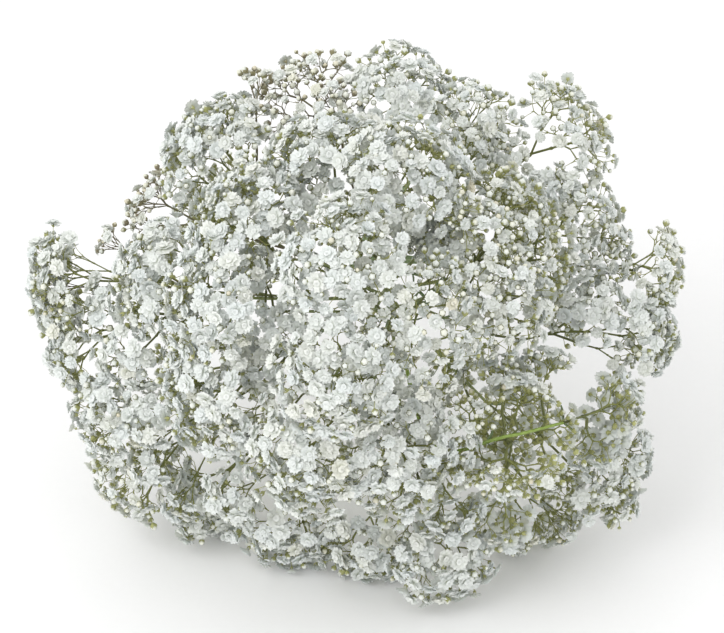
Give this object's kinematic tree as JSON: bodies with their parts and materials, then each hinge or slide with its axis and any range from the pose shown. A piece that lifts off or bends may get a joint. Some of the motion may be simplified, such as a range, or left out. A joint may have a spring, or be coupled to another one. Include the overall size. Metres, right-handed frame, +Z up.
{
  "type": "gypsophila stem",
  "caption": "Cut stem of double gypsophila laid on its side: a thin green stem that forks into a wide airy head of small ruffled white flowers.",
  "frame": {"origin": "on the surface, under the middle of the plant's bounding box", "axes": "+X to the right as the head faces the viewer, +Y back along the bare stem towards its cut end, +Z up from the surface"},
  "size_m": [0.3738, 0.5774, 0.2776],
  "materials": {
    "stem": "smooth green stem skin, a little waxy",
    "branch": "smooth thin green stem skin",
    "leaf": "matt grey-green leaf with a faint bloom",
    "blossom": "matt cool white petals on olive-green twigs"
  },
  "bodies": {
    "root": {"branch_bright": "branch", "branch_down": "branch", "branch_front_down": "branch", "branch_front_left": "branch", "branch_front_right": "branch", "branch_front_up": "branch", "branch_left": "branch", "branch_left_low": "branch", "branch_lower_left": "branch", "branch_lower_right": "branch", "branch_right": "branch", "branch_right_high": "branch", "branch_up": "branch", "branch_upper_left": "branch", "branch_upper_right": "branch", "leaf_lower_left": "leaf", "leaf_lower_right": "leaf", "leaf_upper_left": "leaf", "leaf_upper_right": "leaf", "main_stem": "stem", "spray_back_left_high": "blossom", "spray_back_left_low": "blossom", "spray_back_right_high": "blossom", "spray_back_right_low": "blossom", "spray_bottom": "blossom", "spray_bottom_left": "blossom", "spray_bottom_right": "blossom", "spray_bottom_tip": "blossom", "spray_corner_left": "blossom", "spray_far_umbel": "blossom", "spray_floor_left": "blossom", "spray_front_bottom": "blossom", "spray_front_bottom_left": "blossom", "spray_front_left": "blossom", "spray_front_left_high": "blossom", "spray_front_left_low": "blossom", "spray_front_right": "blossom", "spray_front_right_high": "blossom", "spray_front_right_low": "blossom", "spray_front_top": "blossom", "spray_front_top_left": "blossom", "spray_heart_high": "blossom", "spray_heart_low": "blossom", "spray_heart_right": "blossom", "spray_left_lobe": "blossom", "spray_left_lobe_top": "blossom", "spray_left_low": "blossom", "spray_left_notch": "blossom", "spray_left_twiggy": "blossom", "spray_lower_right": "blossom", "spray_peak_left": "blossom", "spray_right_gap": "blossom", "spray_right_high": "blossom", "spray_right_low": "blossom", "spray_right_shoulder": "blossom", "spray_top": "blossom", "spray_top_right": "blossom", "spray_top_twiggy": "blossom"}
  },
  "joints": []
}
